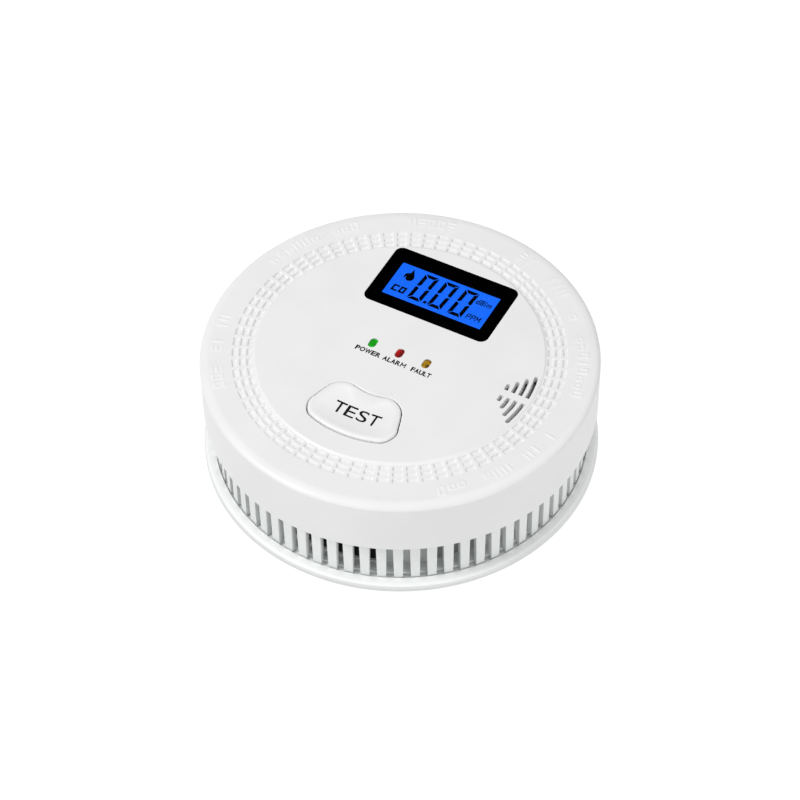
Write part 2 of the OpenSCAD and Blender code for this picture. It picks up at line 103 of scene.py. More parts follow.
# Small words: left end, base, letter width and height, space between letters, stroke
DISPLAY_WORDS = {"CO": (-15.3, 22.0, 2.0, 2.65, 0.5, 0.62),
                 "dB/m": (10.5, 28.75, 1.05, 2.1, 0.25, 0.3),
                 "PPM": (10.4, 22.0, 1.25, 2.1, 0.3, 0.3)}

# Indicators
INDICATOR_PITCH = 9.05
INDICATOR_X = 0.3
INDICATOR_Y = -0.75
INDICATOR_HOLE = (2.4, 3.8)
LENS_PLAY = 0.14            # the lens is this much smaller than its hole
LENS_FLANGE = (0.4, 1.2)    # width and height of the flange under the cover
LENS_EDGE = 0.45            # from the disc down to the edge of the dome
LENS_DOME = (0.95, 0.4)     # width of the rounded edge, and its height

# Printed words: width, middle, base line
LABELS = {"POWER": (8.4, -8.4, -5.4), "ALARM": (7.7, 0.6, -5.5), "FAULT": (6.5, 9.55, -5.6)}
LABEL_HEIGHT = 1.8
LABEL_THICKNESS = 0.02
TEST_LABEL = (15.1, 0.5, -29.7)
TEST_HEIGHT = 4.25
TEST_THICKNESS = 0.03
PRINT_SINK = 0.005          # a print starts this far inside the surface that it lies on

# Test button: the right half of its outline, from the dip to the rim side, in the middle of the gap
BUTTON_HALF = [(0, -18.95), (4.35, -18.45), (6.8, -18.02), (9.3, -18.75), (11.6, -20.7), (12.85, -23.5),
               (13.75, -26.4), (14.5, -29), (14.0, -31.6), (12.25, -34), (9.05, -35.25), (4.8, -36.15),
               (0, -36.45)]
BUTTON_GAP = 0.15           # from the middle of the gap to either side
BUTTON_CENTRE = (0.0, -28.0)
BUTTON_DIP = (6.4, 4.6)     # half width of the dip, and the run over which it grows
BUTTON_DIP_Y = -21          # the dip is on the outline's side above this line
BUTTON_DIP_DEPTH = 0.62
BUTTON_DIP_SPREAD = 0.05    # the cap grows by this much over the gap's middle at the dip
BUTTON_CREST = DISC_Z + 0.6
BUTTON_DISH = 1.0
BUTTON_RINGS = 18
# The cap's edge, from its wall to the dish: how far in from the outline, and how far below the crest
BUTTON_EDGE = [(0.0, 2.0), (0.0, 0.75), (0.06, 0.5), (0.22, 0.26), (0.5, 0.1), (0.85, 0.02), (1.25, 0.0),
               (1.7, 0.03)]

# Sound slots
GRILLE_R = 34.8
GRILLE_PITCH = 2.33
GRILLE_WIDTH = 1.2
GRILLE_RIB = 1.2
GRILLE_ANGLES = (6.0, 9.0, 11.8, 14.0)
GRILLE_SHIFT = (0.1, -0.25)


# ---------------------------------------------------------------- outlines

def arc(cx, cy, r, start, end, steps):
    """Points on an arc, angles in degrees."""
    angles = [math.radians(start + (end - start) * i / steps) for i in range(steps + 1)]
    return [(cx + r * math.cos(a), cy + r * math.sin(a)) for a in angles]


def round_rect(cx, cy, w, h, r):
    """Rectangle with round corners, anticlockwise."""
    x, y = w / 2 - r, h / 2 - r
    points = []
    for sx, sy, start in ((1, 1, 0), (-1, 1, 90), (-1, -1, 180), (1, -1, 270)):
        points += arc(cx + sx * x, cy + sy * y, r, start, start + 90, 12)
    return points


def oval(cx, cy, w, h):
    """Upright oval with straight sides."""
    half = (h - w) / 2
    return arc(cx, cy + half, w / 2, 0, 180, 16) + arc(cx, cy - half, w / 2, 180, 360, 16)


def curved_slot(r, width, near, far, side):
    """Narrow slot that follows a circle, square at its near end, round at its far one, on either side."""
    points = arc(0, 0, r + width / 2, near, far, 14)
    a = math.radians(far)
    points += arc(r * math.cos(a), r * math.sin(a), width / 2, far, far + 180, 10)[1:-1]
    points += arc(0, 0, r - width / 2, far, near, 14)
    points = [(x + GRILLE_SHIFT[0], side * y + GRILLE_SHIFT[1]) for x, y in points]
    return points if side > 0 else points[::-1]


def bean():
    """Outline of the test button: wide towards the rim, with a dip towards the indicators."""
    right = BUTTON_HALF[::-1]
    left = [(-x, y) for x, y in BUTTON_HALF[1:-1]]
    return even(curve_through(right + left, 12), 240)


def even(points, count):
    """The closed outline again, with count points at equal spacing."""
    closed = [Vector(p) for p in points + points[:1]]
    lengths = [0.0]
    for p, q in zip(closed, closed[1:]):
        lengths.append(lengths[-1] + (q - p).length)
    made, k = [], 0
    for i in range(count):
        want = lengths[-1] * i / count
        while lengths[k + 1] < want:
            k += 1
        t = (want - lengths[k]) / (lengths[k + 1] - lengths[k])
        made.append(tuple(closed[k].lerp(closed[k + 1], t)))
    return made


def offset(points, distance):
    """The anticlockwise outline moved outwards by distance."""
    moved = []
    for i, (x, y) in enumerate(points):
        x0, y0 = points[i - 1]
        x1, y1 = points[(i + 1) % len(points)]
        run = math.hypot(x1 - x0, y1 - y0)
        moved.append((x + (y1 - y0) / run * distance, y - (x1 - x0) / run * distance))
    return moved


def inside(x, y, outline):
    """True if the point lies in the closed outline."""
    hit = False
    for (x0, y0), (x1, y1) in zip(outline, outline[1:] + outline[:1]):
        if (y0 > y) != (y1 > y) and x < (x1 - x0) * (y - y0) / (y1 - y0) + x0:
            hit = not hit
    return hit


# ---------------------------------------------------------------- meshes

class Skin:
    """Points, in millimetres, and faces of one mesh that is built up loop by loop."""

    def __init__(self):
        self.points = []
        self.faces = []

    def loop(self, outline, z):
        """Adds a closed loop of points at one height, or at a list of heights."""
        first = len(self.points)
        heights = z if isinstance(z, list) else [z] * len(outline)
        self.points += [(x, y, h) for (x, y), h in zip(outline, heights)]
        return list(range(first, len(self.points)))

    def join(self, lower, upper):
        """Quads between two loops; they look outwards where lower runs anticlockwise below upper."""
        count = len(lower)
        for i in range(count):
            j = (i + 1) % count
            self.faces.append((lower[i], lower[j], upper[j], upper[i]))

    def chain(self, loops):
        for lower, upper in zip(loops, loops[1:]):
            self.join(lower, upper)

    def flat(self, outer, holes, upwards):
        """Fills the flat region inside the outer loop and outside the holes."""
        used = outer + [i for hole in holes for i in hole]
        where = {index: k for k, index in enumerate(used)}
        edges = []
        for ring in [outer] + holes:
            edges += [(where[ring[i - 1]], where[ring[i]]) for i in range(len(ring))]
        flat_points = [Vector(self.points[i][:2]) for i in used]
        verts, _, tris, origin, _, _ = delaunay_2d_cdt(flat_points, edges, [], 1, 1e-6)
        outlines = [[self.points[i][:2] for i in hole] for hole in holes]
        for tri in tris:
            x = sum(verts[i].x for i in tri) / 3
            y = sum(verts[i].y for i in tri) / 3
            if any(inside(x, y, outline) for outline in outlines):
                continue
            corners = [used[origin[i][0]] for i in tri]
            self.faces.append(tuple(corners if upwards else reversed(corners)))

    def cap(self, ring, upwards):
        self.faces.append(tuple(ring if upwards else reversed(ring)))

    def build(self, name, material):
        mesh = bpy.data.meshes.new(name)
        mesh.from_pydata([Vector(p) * MM for p in self.points], [], self.faces)
        mesh.validate()
        mesh.materials.append(material)
        piece = bpy.data.objects.new(name, mesh)
        bpy.context.scene.collection.objects.link(piece)
        return piece


def smooth(piece, angle=40.0):
    """Smooth shading with hard edges above an angle, weighted so that flat faces stay flat."""
    mesh = piece.data
    mesh.shade_smooth()
    mesh.set_sharp_from_angle(angle=math.radians(angle))
    weighted = piece.modifiers.new("weighted", "WEIGHTED_NORMAL")
    weighted.keep_sharp = True


def prism(name, outlines, z0, z1, material):
    """Flat plates of the same thickness, one for each outline, as one piece."""
    skin = Skin()
    for outline in outlines:
        low, high = skin.loop(outline, z0), skin.loop(outline, z1)
        skin.join(low, high)
        skin.flat(low, [], False)
        skin.flat(high, [], True)
    return skin.build(name, material)


# ---------------------------------------------------------------- materials

def node_material(name):
    """A new material with its nodes, its links and its main shader."""
    material = bpy.data.materials.new(name)
    material.use_nodes = True
    nodes = material.node_tree.nodes
    return material, nodes, material.node_tree.links, nodes["Principled BSDF"]


def noise(nodes, links, scale, detail=3.0):
    """Noise over the object's own coordinates."""
    where = nodes.new("ShaderNodeTexCoord")
    texture = nodes.new("ShaderNodeTexNoise")
    texture.inputs["Scale"].default_value = scale
    texture.inputs["Detail"].default_value = detail
    links.new(where.outputs["Object"], texture.inputs["Vector"])
    return texture


def ranged(nodes, links, source, low, high, reach=0.2):
    """The noise's value, which stays within reach of one half, spread between low and high."""
    spread = nodes.new("ShaderNodeMapRange")
    spread.inputs["From Min"].default_value = 0.5 - reach
    spread.inputs["From Max"].default_value = 0.5 + reach
    spread.inputs["To Min"].default_value = low
    spread.inputs["To Max"].default_value = high
    links.new(source, spread.inputs["Value"])
    return spread.outputs["Result"]


def tinted(nodes, links, source, shade, light, reach=0.2):
    """A colour that drifts between two tints with the noise."""
    mix = nodes.new("ShaderNodeMix")
    mix.data_type = "RGBA"
    mix.inputs[6].default_value = (*shade, 1.0)
    mix.inputs[7].default_value = (*light, 1.0)
    links.new(ranged(nodes, links, source, 0.0, 1.0, reach), mix.inputs["Factor"])
    return mix.outputs[2]


def painted_light_by_facing(nodes, links, colour, side, slope):
    """Painted light and shade: the colour scaled by how a face lies, side if upright, slope if tilted, 1 if
    level.
    """
    where = nodes.new("ShaderNodeNewGeometry")
    split = nodes.new("ShaderNodeSeparateXYZ")
    ramp = nodes.new("ShaderNodeValToRGB")
    scale = nodes.new("ShaderNodeMix")
    scale.data_type = "RGBA"
    scale.blend_type = "MULTIPLY"
    scale.inputs["Factor"].default_value = 1.0
    stops = ramp.color_ramp.elements
    stops[0].position, stops[1].position = 0.35, 0.999
    stops.new(0.8)
    stops.new(0.975)
    for stop, value in zip(stops, (side, slope, slope, 1.0)):
        stop.color = (value, value, value, 1.0)
    links.new(where.outputs["Normal"], split.inputs["Vector"])
    links.new(split.outputs["Z"], ramp.inputs["Fac"])
    links.new(colour, scale.inputs[6])
    links.new(ramp.outputs["Color"], scale.inputs[7])
    return scale.outputs[2]


def moulded(name, colour, roughness=0.42, grain=2600.0, depth=0.012, drift=0.02, gloss=0.5, painted_light_tones=None):
    """Moulded plastic: a fine spark-eroded grain, slow tint drift and uneven gloss; given tones, the colour
    of upright and tilted faces is scaled to paint light and shade by facing.
    """
    material, nodes, links, shader = node_material(name)
    slow = noise(nodes, links, 55.0, 4.0)
    fine = noise(nodes, links, grain, 2.0)
    shade = tuple(c * (1.0 - drift) for c in colour)
    light = tuple(min(1.0, c * (1.0 + drift)) for c in colour)
    tint = tinted(nodes, links, slow.outputs["Fac"], shade, light)
    # painted light and shade: the base colour is scaled by which way each face looks
    links.new(painted_light_by_facing(nodes, links, tint, *painted_light_tones) if painted_light_tones else tint, shader.inputs["Base Color"])
    links.new(ranged(nodes, links, slow.outputs["Fac"], roughness - 0.04, roughness + 0.04),
              shader.inputs["Roughness"])
    bump = nodes.new("ShaderNodeBump")
    bump.inputs["Strength"].default_value = 0.35
    bump.inputs["Distance"].default_value = depth * MM
    links.new(fine.outputs["Fac"], bump.inputs["Height"])
    links.new(bump.outputs["Normal"], shader.inputs["Normal"])
    shader.inputs["Specular IOR Level"].default_value = gloss
    return material


def metal(name, colour, roughness):
    """Plated metal with light handling marks."""
    material, nodes, links, shader = node_material(name)
    slow = noise(nodes, links, 120.0, 5.0)
    shade = tuple(c * 0.9 for c in colour)
    links.new(tinted(nodes, links, slow.outputs["Fac"], shade, colour), shader.inputs["Base Color"])
    rough = ranged(nodes, links, slow.outputs["Fac"], roughness * 0.7, roughness * 1.3)
    links.new(rough, shader.inputs["Roughness"])
    shader.inputs["Metallic"].default_value = 1.0
    return material


def clear(name, colour, roughness=0.03, ior=1.49, gloss=0.5):
    """Clear moulded plastic with a very slight unevenness."""
    material, nodes, links, shader = node_material(name)
    slow = noise(nodes, links, 90.0, 2.0)
    shade = tuple(c * 0.97 for c in colour)
    links.new(tinted(nodes, links, slow.outputs["Fac"], shade, colour), shader.inputs["Base Color"])
    rough = ranged(nodes, links, slow.outputs["Fac"], roughness * 0.6, roughness * 1.4)
    links.new(rough, shader.inputs["Roughness"])
    shader.inputs["Transmission Weight"].default_value = 1.0
    shader.inputs["IOR"].default_value = ior
    shader.inputs["Specular IOR Level"].default_value = gloss
    return material


def backlit(name, shade, light, strength):
    """Glass lit from behind, a little uneven as a light guide leaves it."""
    material, nodes, links, shader = node_material(name)
    slow = noise(nodes, links, 30.0, 1.0)
    glow = tinted(nodes, links, slow.outputs["Fac"], shade, light)
    links.new(glow, shader.inputs["Emission Color"])
    shader.inputs["Emission Strength"].default_value = strength
    shader.inputs["Base Color"].default_value = (0.001, 0.002, 0.004, 1.0)
    shader.inputs["Roughness"].default_value = 0.4
    shader.inputs["Specular IOR Level"].default_value = 0.0
    return material


def lens_material(name, deep, bright):
    """Coloured indicator lens whose tint drifts with noise between a deep and a bright shade, with a faint
    glow and a polished skin.
    """
    material, nodes, links, shader = node_material(name)
    slow = noise(nodes, links, 600.0, 1.0)
    tint = tinted(nodes, links, slow.outputs["Fac"], deep, bright, 0.1)
    links.new(tint, shader.inputs["Base Color"])
    links.new(tint, shader.inputs["Emission Color"])
    shader.inputs["Emission Strength"].default_value = 0.2
    shader.inputs["Roughness"].default_value = 0.2
    shader.inputs["Specular IOR Level"].default_value = 0.15
    return material


# The tones paint light and shade by facing: the cover's walls, tilted bevel and pocket slopes a little
# lighter, the bracket's upright sides darker, the button's tilted crest lighter.
COVER_WHITE = moulded("cover_white", (0.795, 0.795, 0.795), 0.4, gloss=0.4, painted_light_tones=(1.02, 1.03))
HOUSING_WHITE = moulded("housing_white", (0.8, 0.82, 0.815), 0.4)
BRACKET_WHITE = moulded("bracket_white", (0.92, 0.935, 0.93), 0.4, painted_light_tones=(0.78, 1.0))
BUTTON_WHITE = moulded("button_white", (0.80, 0.80, 0.80), 0.3, depth=0.006, painted_light_tones=(1.0, 1.05))
BLACK = moulded("black_plastic", (0.02, 0.02, 0.021), 0.5)
PRINT = moulded("black_print", (0.004, 0.004, 0.004), 0.6, depth=0.002, gloss=0.1)
MASK = moulded("window_black", (0.0004, 0.0004, 0.0004), 0.6, depth=0.001, gloss=0.0)
LCD_INK = moulded("segment_ink", (0.0008, 0.001, 0.002), 0.6, depth=0.001, gloss=0.0)
WINDOW_CLEAR = clear("window_clear", (0.995, 0.995, 1.0), 0.02, 1.05, 0.05)
LENS_CLEAR = clear("emitter_clear", (0.95, 0.97, 1.0))
STEEL = metal("plated_steel", (0.72, 0.72, 0.71), 0.28)
BRASS = metal("piezo_brass", (0.83, 0.6, 0.26), 0.3)
LCD_BLUE = backlit("lcd_blue", (0.009, 0.145, 0.98), (0.012, 0.16, 1.05), 1.0)
GREEN = lens_material("green_lens", (0.0006, 0.24, 0.0006), (0.001, 0.44, 0.003))
RED = lens_material("red_lens", (0.12, 0.0005, 0.0008), (0.5, 0.001, 0.002))
AMBER = lens_material("amber_lens", (0.08, 0.04, 0.0008), (0.36, 0.2, 0.003))

# The vent screens are one part in two copies of one material, a dark painted-shade copy and a lighter
# painted-light copy, split at an X.
SCREEN_PAINTED_SHADE = moulded("screen_painted_shade", (0.02, 0.021, 0.021), 0.8, gloss=0.1)
SCREEN_PAINTED_LIGHT = moulded("screen_painted_light", (0.42, 0.43, 0.43), 0.8, gloss=0.1)
PAINTED_LIGHT_SCREEN_X = 0.03        # the mesh beyond this X gets the lighter copy, painted light on that side

INNER = {
    BLACK: ["switch_plunger", "battery_clip", "battery_lead_black", "smoke_chamber_base",
            "smoke_labyrinth_cap", "smoke_photodiode", "light_pipe_holder",
            "tact_switch_body", "microcontroller", "lcd_connector", "sounder_gasket"],
    BRACKET_WHITE: ["mounting_bracket"],
    HOUSING_WHITE: ["rear_housing", "battery_door", "co_sensor_filter", "lcd_holder"],
    STEEL: ["battery_terminals", "insect_screen", "co_sensor", "housing_screws", "board_screws"],
    SCREEN_PAINTED_SHADE: ["vent_screens"],
    BRASS: ["piezo_disc"],
    MASK: ["display_mask"],
    LCD_BLUE: ["lcd_glass"],
    WINDOW_CLEAR: ["display_window"],
    LENS_CLEAR: ["smoke_emitter"],
    moulded("board_green", (0.01, 0.16, 0.05), 0.3, 900.0, 0.02, 0.12): ["circuit_board"],
    moulded("battery_jacket", (0.05, 0.06, 0.08), 0.35): ["battery"],
    moulded("red_lead", (0.55, 0.02, 0.02), 0.4): ["battery_lead_red"],
    moulded("milky_guide", (0.8, 0.85, 0.95), 0.3): ["lcd_backlight", "indicator_leds"],
    moulded("ceramic", (0.4, 0.32, 0.2), 0.5): ["surface_parts"],
    moulded("capacitor_sleeve", (0.02, 0.03, 0.1), 0.3): ["capacitors"],
    moulded("horn_grey", (0.3, 0.3, 0.3), 0.5): ["sounder_horn"],
    moulded("ferrite", (0.06, 0.06, 0.065), 0.6): ["boost_inductor"],
    moulded("label_foil", (0.6, 0.6, 0.61), 0.3): ["rear_label"],
}


def finish_frame_nodes():
    """Gives every CAD node its material, and paints light and shade on the vent screens."""
    for material, names in INNER.items():
        for name in names:
            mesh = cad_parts[name].data
            mesh.materials.clear()
            mesh.materials.append(material)
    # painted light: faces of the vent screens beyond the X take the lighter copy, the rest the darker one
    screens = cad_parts["vent_screens"].data
    screens.materials.append(SCREEN_PAINTED_LIGHT)
    for face in screens.polygons:
        if face.center.x > PAINTED_LIGHT_SCREEN_X:
            face.material_index = 1


# ---------------------------------------------------------------- cover

def circle(r):
    return arc(0, 0, r, 0, 360, COLUMNS)[:-1]


def column_angle(column):
    return column * 360.0 / COLUMNS


def eased(distance, run):
    """Rises smoothly from 0 at an edge to 1 at a distance of one run from it."""
    t = min(1.0, max(0.0, distance / run))
    return t * t * (3.0 - 2.0 * t)


def pocket_ring(r, inset):
    """Heights of a ring through a row of pockets, inset from the row's nearer edge."""
    heights = []
    for column in range(COLUMNS):
        across = column_angle(column) % POCKET_PITCH
        side = math.radians(min(across, POCKET_PITCH - across) - POCKET_RIB / 2) * r
        depth = POCKET_DEPTH * eased(inset, POCKET_SLOPE) * eased(side, POCKET_SLOPE)
        heights.append(RING_Z - depth)
    return heights


def mark_shape(kind, u, v):
    """True where a mark stands proud. The marks are plain bars and frames, not letters."""
    side = u <= 1 or u >= MARK_WIDTH - 2
    end = v <= 1 or v >= MARK_TALL - 2
    if kind == 0:
        return side or end
    if kind == 1:
        return side
    if kind == 2:
        return end or 5 <= v <= 7
    if kind == 3:
        return (side and v <= 7) or v <= 1 or 6 <= v <= 7
    return 3 <= u <= 5


def mark_rows():
    """For each ring of the rim band, the heights of its points."""
    rows = int(round((MARK_R[1] - MARK_R[0]) / MARK_STEP)) + 1
    heights = [[RING_Z] * COLUMNS for _ in range(rows)]
    first_row = (rows - MARK_TALL) // 2
    per_degree = COLUMNS / 360.0
    for number, (start, end) in enumerate(MARK_GROUPS):
        count = int((end - start) * per_degree // MARK_SPACE)
        for i in range(max(1, count)):
            left = int(start * per_degree) + i * MARK_SPACE
            kind = (3 * number + 2 * i + i * i) % 5
            for u in range(MARK_WIDTH):
                for v in range(MARK_TALL):
                    if mark_shape(kind, u, v):
                        heights[first_row + v][(left + u) % COLUMNS] = RING_Z + MARK_HEIGHT
    return heights


def cover_rings(skin):
    """Every ring of the cover from its underside, round the wall and over the rim, to the disc."""
    inner = COVER_R - COVER_WALL
    low = COVER_LOW
    top = RING_Z
    profile = [(inner - 1.2, UNDER_Z), (inner - 0.4, UNDER_Z - 0.2), (inner, UNDER_Z - 0.8),
               (inner, low + 0.4), (inner + 0.25, low),
               (COVER_R - 0.4, low), (COVER_R - 0.12, low + 0.1), (COVER_R, low + 0.35),
               (COVER_R, top - 1.6), (COVER_R - 0.03, top - 1.4), (COVER_R - 0.16, top - 1.15),
               (COVER_R - 0.42, top - 0.85), (59.0, top - 0.42), (58.3, top - 0.22), (57.6, top - 0.07),
               (57.2, top)]
    loops = [skin.loop(circle(r), z) for r, z in profile]
    marks = mark_rows()
    for row in range(len(marks) - 1, -1, -1):
        loops.append(skin.loop(circle(MARK_R[0] + row * MARK_STEP), marks[row]))
    for row in range(POCKET_ROWS - 1, -1, -1):
        near = POCKET_FIRST_R + row * POCKET_ROW_PITCH
        for step in range(POCKET_STEPS, -1, -1):
            r = near + POCKET_LENGTH * step / POCKET_STEPS
            loops.append(skin.loop(circle(r), pocket_ring(r, min(r - near, near + POCKET_LENGTH - r))))
    edge = [(DISC_R + 0.42, RING_Z), (DISC_R + 0.3, RING_Z + 0.03), (DISC_R + 0.15, RING_Z + 0.13),
            (DISC_R - 0.15, RING_Z + 0.37), (DISC_R - 0.3, DISC_Z - 0.03), (DISC_R - 0.4, DISC_Z),
            (DISC_R - 0.44, DISC_Z)]
    loops += [skin.loop(circle(r), z) for r, z in edge]
    return loops


def opening(skin, outline, fillet, spare):
    """The loops of one hole, from its rounded edge on the disc down to the underside."""
    loops = []
    if spare:
        loops.append(skin.loop(offset(outline, fillet + spare), DISC_Z))
    for step in range(5):
        a = math.radians(22.5 * step)
        out = fillet * (1.0 - math.sin(a))
        loops.append(skin.loop(offset(outline, out), DISC_Z - fillet * (1.0 - math.cos(a))))
    loops.append(skin.loop(outline, UNDER_Z))
    return loops


def cover_openings():
    """Outline, edge radius and spare flat margin of each hole in the disc."""
    holes = [(round_rect(0, WINDOW_Y, *WINDOW_HOLE, WINDOW_CORNER), 0.08, 0.0),
             (offset(bean(), BUTTON_GAP), 0.4, 0.25)]
    for i in (-1, 0, 1):
        holes.append((oval(INDICATOR_X + i * INDICATOR_PITCH, INDICATOR_Y, *INDICATOR_HOLE), 0.12, 0.1))
    for i, far in enumerate(GRILLE_ANGLES):
        r = GRILLE_R + i * GRILLE_PITCH
        near = math.degrees(math.asin(GRILLE_RIB / r))
        far -= math.degrees(GRILLE_WIDTH / 2 / r)
        for side in (1, -1):
            holes.append((curved_slot(r, GRILLE_WIDTH, near, max(far, near + 0.3), side), 0.15, 0.1))
    return holes


def make_cover():
    """The cover as one shell with its pockets, marks and openings."""
    skin = Skin()
    rings = cover_rings(skin)
    skin.chain(rings)
    walls = [opening(skin, *hole) for hole in cover_openings()]
    for loops in walls:
        for upper, lower in zip(loops, loops[1:]):
            skin.join(upper, lower)
    skin.flat(rings[-1], [loops[0] for loops in walls], True)
    skin.flat(rings[0], [loops[-1] for loops in walls], False)
    piece = skin.build("cover_shell", COVER_WHITE)
    smooth(piece, 50.0)
    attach(piece, "detector")
    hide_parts("front_cover")


# ---------------------------------------------------------------- test button

def make_button():
    """Cap with a rounded crest round a dished top; the crest sinks to the disc's level at the dip."""
    middle = bean()
    centre = Vector(BUTTON_CENTRE)
    half, run = BUTTON_DIP
    dip = [eased(half - abs(x), run) if y > BUTTON_DIP_Y else 0.0 for x, y in middle]
    outline = []
    for (x, y), (u, v), d in zip(offset(middle, -BUTTON_GAP), offset(middle, BUTTON_DIP_SPREAD), dip):
        outline.append((x + (u - x) * d, y + (v - y) * d))
    crest = [BUTTON_CREST - BUTTON_DIP_DEPTH * d for d in dip]
    skin = Skin()
    loops = [skin.loop(offset(outline, -inset), [c - down for c in crest]) for inset, down in BUTTON_EDGE]
    loops.insert(0, skin.loop(outline, UNDER_Z - 0.1))
    rim_inset, rim_down = BUTTON_EDGE[-1]
    rim = offset(outline, -rim_inset)
    rim_z = BUTTON_CREST - rim_down
    for i in range(1, BUTTON_RINGS):
        s = 1.0 - i / BUTTON_RINGS
        deep = (1.0 - s * s) * BUTTON_DISH
        points = [tuple(centre + (Vector(p) - centre) * s) for p in rim]
        loops.append(skin.loop(points, [rim_z - deep - BUTTON_DIP_DEPTH * d * s ** 4 for d in dip]))
    skin.chain(loops)
    tip = len(skin.points)
    skin.points.append((centre.x, centre.y, rim_z - BUTTON_DISH))
    last = loops[-1]
    for i in range(len(last)):
        skin.faces.append((last[i], last[(i + 1) % len(last)], tip))
    skin.flat(loops[0], [], False)
    piece = skin.build("button_cap", BUTTON_WHITE)
    smooth(piece, 60.0)
    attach(piece, "test_button")
    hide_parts("test_button")
    return piece


# ---------------------------------------------------------------- lettering

# Width of each letter as a part of the type size; those in TIGHT have no bare space at their sides
LETTERS = {"A": 0.67, "E": 0.67, "F": 0.61, "L": 0.56, "M": 0.83, "O": 0.78, "P": 0.67, "R": 0.72, "S": 0.67,
           "T": 0.61, "U": 0.72, "W": 0.94}
TIGHT = "ATW"


def letter_form(letter, weight):
    """Flat mesh of one plain letter; the M is drawn in straight strokes, which stay open when bold."""
    form = bmesh.new()
    if letter == "M":
        for outline in strokes(STROKES["M"], 0.15 + 2 * weight):
            form.faces.new([form.verts.new((x, y, 0.0)) for x, y in outline])
        return form
    curve = bpy.data.curves.new(letter, "FONT")
    curve.body = letter
    curve.offset = weight
    curve.resolution_u = 6
    source = bpy.data.objects.new(letter, curve)
    bpy.context.scene.collection.objects.link(source)
    bpy.context.view_layer.update()
    mesh = bpy.data.meshes.new_from_object(source)
    bpy.data.objects.remove(source)
    form.from_mesh(mesh)
    bmesh.ops.remove_doubles(form, verts=form.verts, dist=1e-5)
    return form


def lettering(name, word, width, height, x, y, z, thickness, material, weight, space):
    """One generic word as a thin print, fitted to a width and a cap height, centred on x, based on y."""
    bare = [0.01 if c in TIGHT else space for c in word]
    size = width / (sum(LETTERS[c] for c in word) - bare[0] - bare[-1])
    print_form = bmesh.new()
    pen = x - width / 2 - bare[0] * size
    for letter, side in zip(word, bare):
        left, right = side, LETTERS[letter] - side
        form = letter_form(letter, weight)
        xs = [v.co.x for v in form.verts]
        ys = [v.co.y for v in form.verts]
        for v in form.verts:
            v.co.x = pen + size * (left + (v.co.x - min(xs)) / (max(xs) - min(xs)) * (right - left))
            v.co.y = y + (v.co.y - min(ys)) / (max(ys) - min(ys)) * height
            v.co.z = z
        grown = bmesh.ops.extrude_face_region(form, geom=form.faces[:])
        for v in [g for g in grown["geom"] if isinstance(g, bmesh.types.BMVert)]:
            v.co.z += thickness
        bmesh.ops.scale(form, vec=(MM, MM, MM), verts=form.verts)
        bmesh.ops.recalc_face_normals(form, faces=form.faces)
        mesh = bpy.data.meshes.new(name)
        form.to_mesh(mesh)
        form.free()
        print_form.from_mesh(mesh)
        pen += LETTERS[letter] * size
    mesh = bpy.data.meshes.new(name)
    print_form.to_mesh(mesh)
    print_form.free()
    mesh.materials.append(material)
    piece = bpy.data.objects.new(name, mesh)
    bpy.context.scene.collection.objects.link(piece)
    return piece


def make_labels(button):
    """Names of the indicators on the disc, and the word on the button, which follows its dish."""
    for word, (width, x, y) in LABELS.items():
        piece = lettering(f"label_{word.lower()}", word, width, LABEL_HEIGHT, x, y, DISC_Z - PRINT_SINK,
                          LABEL_THICKNESS, PRINT, 0.04, 0.02)
        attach(piece, "detector")
    width, x, y = TEST_LABEL
    word = lettering("label_test", "TEST", width, TEST_HEIGHT, x, y, 0.0, TEST_THICKNESS, PRINT, 0.004, 0.06)
    surface = BVHTree.FromPolygons([v.co for v in button.data.vertices],
                                   [p.vertices[:] for p in button.data.polygons])
    for v in word.data.vertices:
        hit = surface.ray_cast(Vector((v.co.x, v.co.y, 0.1)), Vector((0, 0, -1)))[0]
        v.co.z += hit.z - PRINT_SINK * MM
    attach(word, "test_button")


# ---------------------------------------------------------------- display

def digit_segments(left, base):
    """The lit segments of a nought: all but the middle bar, with mitred ends."""
    w, h = DIGIT_SIZE
    t, g = SEGMENT, SEGMENT_GAP
    half = h / 2
    top = [(g, h), (t + g * 0.6, h - t), (w - t - g * 0.6, h - t), (w - g, h)]
    upper = [(0, h - g), (0, half + g * 1.1), (t * 0.55, half + g), (t, half + g + t * 0.45), (t, h - t - g)]
    bars = []
    for flip_x in (False, True):
        for flip_y in (False, True):
            bars.append([(w - px if flip_x else px, h - py if flip_y else py) for px, py in upper])
    for flip_y in (False, True):
        bars.append([(px, h - py if flip_y else py) for px, py in top])
    lean = math.tan(math.radians(DIGIT_SLANT))
    placed = []
    for bar in bars:
        points = [(left + px + (py - half) * lean, base + py) for px, py in bar]
        area = sum(a[0] * b[1] - b[0] * a[1] for a, b in zip(points, points[1:] + points[:1]))
        placed.append(points if area > 0 else points[::-1])
    return placed


def strokes(lines, thickness):
    """Rectangles round straight strokes given by their end points."""
    shapes = []
    for (x0, y0), (x1, y1) in lines:
        run = math.hypot(x1 - x0, y1 - y0)
        ux, uy = (x1 - x0) / run * thickness / 2, (y1 - y0) / run * thickness / 2
        shapes.append([(x0 - ux + uy, y0 - uy - ux), (x1 + ux + uy, y1 + uy - ux),
                       (x1 + ux - uy, y1 + uy + ux), (x0 - ux - uy, y0 - uy + ux)])
    return shapes


def curve_through(points, steps):
    """Closed smooth outline through a few points."""
    made = []
    count = len(points)
    for i in range(count):
        p0, p1, p2, p3 = (Vector(points[(i + k) % count]) for k in (-1, 0, 1, 2))
        for s in range(steps):
            t = s / steps
            made.append(tuple(0.5 * (2 * p1 + (p2 - p0) * t + (2 * p0 - 5 * p1 + 4 * p2 - p3) * t * t
                                     + (3 * p1 - p0 - 3 * p2 + p3) * t ** 3)))
    return made


